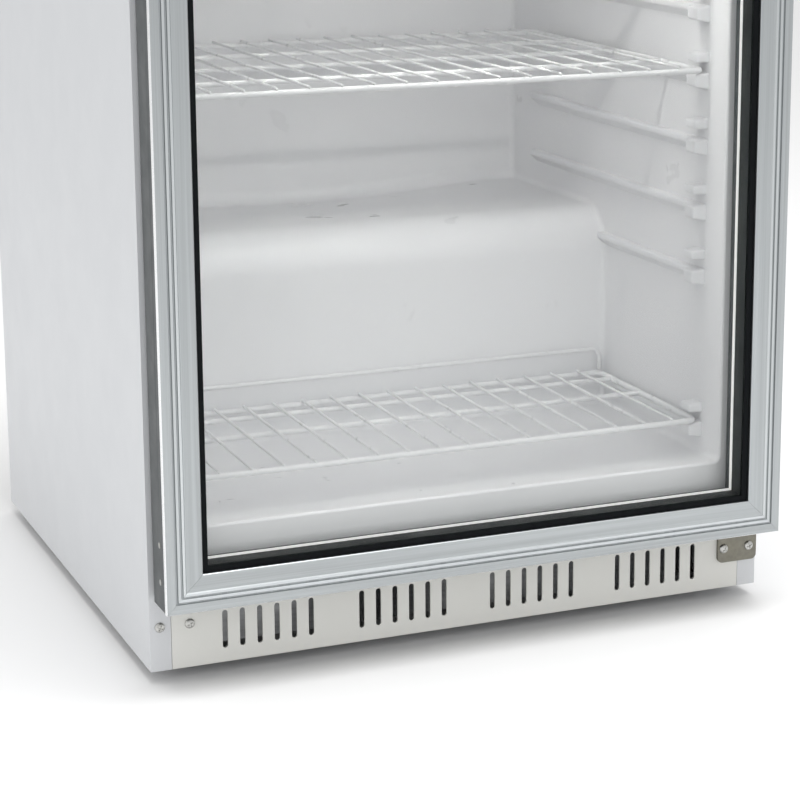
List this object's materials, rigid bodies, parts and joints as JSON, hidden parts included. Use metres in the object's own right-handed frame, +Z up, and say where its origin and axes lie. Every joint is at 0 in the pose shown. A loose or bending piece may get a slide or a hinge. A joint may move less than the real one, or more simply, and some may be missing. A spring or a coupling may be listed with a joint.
{
  "type": "undercounter refrigerator",
  "caption": "White undercounter refrigerator with a framed glass door, slotted plinth, wire shelves over a moulded compressor hump, and levelling feet.",
  "frame": {"origin": "on the floor, under the middle of the whole object's box", "axes": "+Z up, +X to the right as the door is faced, -Y towards the user; the door hinges on the +X side"},
  "size_m": [0.6, 0.628, 0.85],
  "materials": {
    "white_steel": "satin",
    "worktop": "satin",
    "plinth_paint": "satin",
    "galvanised": "satin",
    "liner_white": "satin",
    "foam": "matte",
    "zinc": "satin",
    "foot_plastic": "satin",
    "door_aluminium": "satin",
    "handle_metal": "satin",
    "dark_plastic": "satin",
    "hidden_steel": "satin",
    "gasket_grey": "matte",
    "black_rubber": "matte",
    "glass": "gloss",
    "spacer": "satin",
    "fascia_white": "satin",
    "chrome": "polished",
    "display_red": "gloss",
    "knob_black": "satin",
    "wire_white": "satin",
    "lamp_body": "satin",
    "lamp_frost": "matte",
    "coil_aluminium": "satin",
    "fan_plastic": "satin",
    "black_paint": "satin",
    "condenser_paint": "satin",
    "tray_plastic": "matte",
    "copper": "satin"
  },
  "bodies": {
    "cabinet": {"side_panel_left": "white_steel", "side_panel_right": "white_steel", "worktop": "worktop", "plinth_grille": "plinth_paint", "back_panel": "galvanised", "base_tray": "galvanised", "base_shield": "galvanised", "liner": "liner_white", "evaporator_cover": "liner_white", "drain_tube": "liner_white", "foam_insulation": "foam", "lower_hinge_bracket": "zinc", "upper_hinge_bracket": "zinc", "hinge_pins": "zinc", "plug_screws": "zinc", "bracket_screws": "zinc", "foot_sockets": "foot_plastic", "switch_housing": "dark_plastic", "thermometer_bezel": "dark_plastic", "inlet_box": "dark_plastic", "thermostat": "hidden_steel", "fan_motor": "hidden_steel", "compressor_grommets": "black_rubber", "control_fascia": "fascia_white", "lock_housing": "chrome", "thermometer_window": "display_red", "shelf_bottom": "wire_white", "shelf_bottom_stop": "wire_white", "shelf_middle": "wire_white", "shelf_top": "wire_white", "lamp_housing": "lamp_body", "lamp_diffuser": "lamp_frost", "evaporator_coil": "coil_aluminium", "compressor": "black_paint", "condenser": "condenser_paint", "drip_tray": "tray_plastic", "refrigerant_pipes": "copper"},
    "door": {"door_bushes": "dark_plastic", "door_stile_left": "door_aluminium", "door_stile_right": "door_aluminium", "door_rail_bottom": "door_aluminium", "door_rail_top": "door_aluminium", "corner_keys": "hidden_steel", "door_inner_frame": "dark_plastic", "inner_frame_screws": "hidden_steel", "door_gasket": "gasket_grey", "glazing_gasket": "black_rubber", "outer_pane": "glass", "spacer_bar": "spacer", "inner_pane": "glass", "door_handle": "handle_metal", "handle_screws": "hidden_steel"},
    "lock": {"lock_barrel": "chrome"},
    "knob": {"thermostat_knob": "knob_black"},
    "rocker": {"switch_rocker": "knob_black"},
    "fan": {"fan_blade": "fan_plastic"},
    "foot_fl": {"foot_front_left": "foot_plastic"},
    "foot_fr": {"foot_front_right": "foot_plastic"},
    "foot_rl": {"foot_rear_left": "foot_plastic"},
    "foot_rr": {"foot_rear_right": "foot_plastic"}
  },
  "joints": [
    {"name": "door_hinge", "type": "hinge", "parent": "cabinet", "child": "door", "pos_m": [0.285, -0.26, 0.0785], "axis": [0, 0, 1], "range_deg": [0, 110]},
    {"name": "lock_turn", "type": "hinge", "parent": "cabinet", "child": "lock", "pos_m": [-0.23, -0.27, 0.8015], "axis": [0, 1, 0], "range_deg": [0, 90]},
    {"name": "knob_turn", "type": "hinge", "parent": "cabinet", "child": "knob", "pos_m": [0.125, -0.288, 0.8015], "axis": [0, 1, 0], "range_deg": [0, 270]},
    {"name": "rocker_tilt", "type": "hinge", "parent": "cabinet", "child": "rocker", "pos_m": [0.2, -0.28, 0.8015], "axis": [1, 0, 0], "range_deg": [0, 12]},
    {"name": "fan_spin", "type": "hinge", "parent": "cabinet", "child": "fan", "pos_m": [-0.08, 0.202, 0.66], "axis": [0, 1, 0], "continuous": true},
    {"name": "foot_fl_height", "type": "slide", "parent": "cabinet", "child": "foot_fl", "axis": [0, 0, -1], "range_m": [0, 0.015]},
    {"name": "foot_fr_height", "type": "slide", "parent": "cabinet", "child": "foot_fr", "axis": [0, 0, -1], "range_m": [0, 0.015]},
    {"name": "foot_rl_height", "type": "slide", "parent": "cabinet", "child": "foot_rl", "axis": [0, 0, -1], "range_m": [0, 0.015]},
    {"name": "foot_rr_height", "type": "slide", "parent": "cabinet", "child": "foot_rr", "axis": [0, 0, -1], "range_m": [0, 0.015]}
  ]
}
